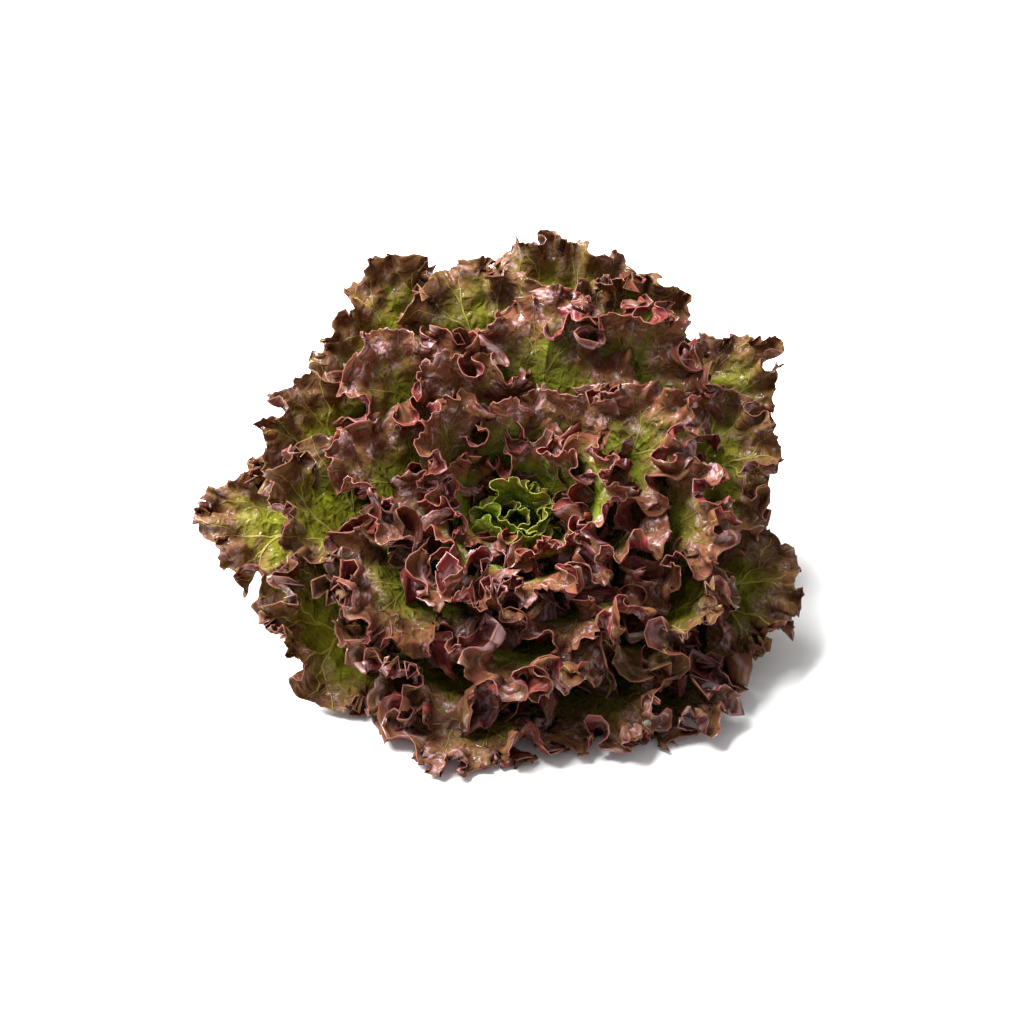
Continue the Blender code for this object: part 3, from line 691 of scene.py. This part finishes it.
# The ring round the heart
# A few leaves with the reddest, tightest frills, which stand in a ring round the green heart.
RING = dict(
    name="ring", count=6, tip_out=(31, 45), tip_up=(92, 103), wave=(18, 20), arch=0, width=0.40, roll=6,
    frill=0.65, frill_depth=1.2, sway=0.07, reflex=0.0, puff=0.7, columns=4.4, teeth=5, tooth=1.3,
    ruffles=((1.75, 1.1, 0.7, 5, 8), (4.6, 0.55, 0.4, 24, 30)), fuller=0.15,
    blade=0.55, rib=1.8,
)
ring_material = leaf_material(
    "ring leaf", green=(0.17, 0.24, 0.002, 1), deep=(0.08, 0.11, 0.001, 1), red=(0.28, 0.048, 0.044, 1),
    dark=(0.12, 0.016, 0.016, 1), rim=(0.32, 0.13, 0.11, 1),
    reach=15.0, patches=16.0, thin=0.28, vein=0.55, painted_sheen_share=0.7,
)
add_ring(RING, 8, ring_material)


# The middle leaves
# Layer on layer of maroon frills, deeply buckled, with dark gaps between them.
MIDDLE = dict(
    name="middle", count=16, tip_out=(48, 106), tip_up=(106, 101), wave=(20, 24), arch=0, width=0.38, roll=6,
    frill=0.65, frill_depth=1.2, sway=0.07, reflex=0.0, puff=1.1, columns=3.8, teeth=5.5, tooth=1.7,
    ruffles=((1.75, 1.1, 0.7, 5, 8), (4.6, 0.55, 0.4, 24, 30)), fuller=0.15,
    blade=0.6, rib=2.4,
)
middle_material = leaf_material(
    "middle leaf", green=(0.16, 0.21, 0.001, 1), deep=(0.08, 0.08, 0.001, 1), red=(0.19, 0.026, 0.028, 1),
    dark=(0.075, 0.012, 0.010, 1), rim=(0.28, 0.11, 0.085, 1),
    reach=30.0, patches=36.0, thin=0.28, vein=0.55, painted_sheen_share=0.7,
)
add_ring(MIDDLE, 14, middle_material)


# The outer leaves
# The oldest and largest leaves, flatter, olive in the middle with plain pale veins and browner towards the
# margin. The front ones reach the table and have darker colours of their own, which are painted shade.
OUTER = dict(
    name="outer", count=16, tip_out=(108, 142), tip_up=(100, 42), wave=(28, 31), arch=-25, width=0.44, roll=6,
    frill=0.55, frill_depth=1.1, sway=0.06, reflex=0.0, puff=1.3, columns=3.6, teeth=7, tooth=2.2,
    ruffles=((2.0, 1.05, 0.65, 10, 12), (6, 0.5, 0.35, 30, 36)), fuller=0.35,
    blade=0.6, rib=3.2,
)
outer_material = leaf_material(
    "outer leaf", green=(0.20, 0.23, 0.001, 1), deep=(0.11, 0.10, 0.001, 1), red=(0.135, 0.034, 0.020, 1),
    dark=(0.072, 0.016, 0.008, 1), rim=(0.24, 0.10, 0.075, 1),
    reach=24.0, patches=38.0, thin=0.3, vein=0.85, painted_sheen_share=0.3,
)
# painted shade: the front leaves get darker copies of the outer leaves' colours, for the shade they lie in, and
# red reaching further in
front_painted_shade_material = leaf_material(
    "front leaf painted shade", green=(0.13, 0.16, 0.001, 1), deep=(0.06, 0.06, 0.001, 1), red=(0.15, 0.024, 0.024, 1),
    dark=(0.055, 0.010, 0.008, 1), rim=(0.26, 0.10, 0.085, 1),
    reach=34.0, patches=38.0, thin=0.24, vein=0.6, painted_sheen_share=0.45,
)
add_ring(OUTER, 30, outer_material, front=front_painted_shade_material)


# The table
# A plain white surface under soft light.
FLOOR = 3.0  # m from its middle to each side
TABLE_WHITE = (0.9, 0.9, 0.9, 1)
floor_mesh = bpy.data.meshes.new("table")
corners = [(-FLOOR, -FLOOR, 0), (FLOOR, -FLOOR, 0), (FLOOR, FLOOR, 0), (-FLOOR, FLOOR, 0)]
floor_mesh.from_pydata(corners, [], [(0, 1, 2, 3)])
floor = bpy.data.objects.new("table", floor_mesh)
bpy.context.scene.collection.objects.link(floor)
floor_material = bpy.data.materials.new("table")
floor_material.use_nodes = True
floor_surface = floor_material.node_tree.nodes["Principled BSDF"]
floor_surface.inputs["Base Color"].default_value = TABLE_WHITE
floor_surface.inputs["Roughness"].default_value = 0.9
floor_mesh.materials.append(floor_material)


# The light and the camera
# A soft key light from above the left back and a bright white room. The camera looks down on the open heart.
ROOM_LIGHT = 0.56
KEY_PLACE, KEY_TARGET, KEY_WIDE, KEY_WATTS = (-0.72, 0.36, 1.2), (0, 0, 0.05), 1.2, 140
ELEVATION = np.radians(34)
DISTANCE = 1.06
TARGET = Vector((-0.003, -0.048, 0.064))
LENS = 85  # mm
world = bpy.data.worlds.new("room")
world.use_nodes = True
world.node_tree.nodes["Background"].inputs["Color"].default_value = (1, 1, 1, 1)
world.node_tree.nodes["Background"].inputs["Strength"].default_value = ROOM_LIGHT
bpy.context.scene.world = world
bpy.context.scene.view_settings.view_transform = "Standard"


def aimed(thing, place, target):
    """Puts a light or camera in its place, facing a target."""
    bpy.context.scene.collection.objects.link(thing)
    thing.location = place
    thing.rotation_euler = (Vector(target) - Vector(place)).to_track_quat("-Z", "Y").to_euler()


key = bpy.data.lights.new("key", "AREA")
key.size = KEY_WIDE
key.energy = KEY_WATTS
aimed(bpy.data.objects.new("key", key), KEY_PLACE, KEY_TARGET)

lens = bpy.data.cameras.new("camera")
lens.lens = LENS
camera = bpy.data.objects.new("camera", lens)
aimed(camera, TARGET + Vector((0, -np.cos(ELEVATION), np.sin(ELEVATION))) * DISTANCE, TARGET)
bpy.context.scene.camera = camera
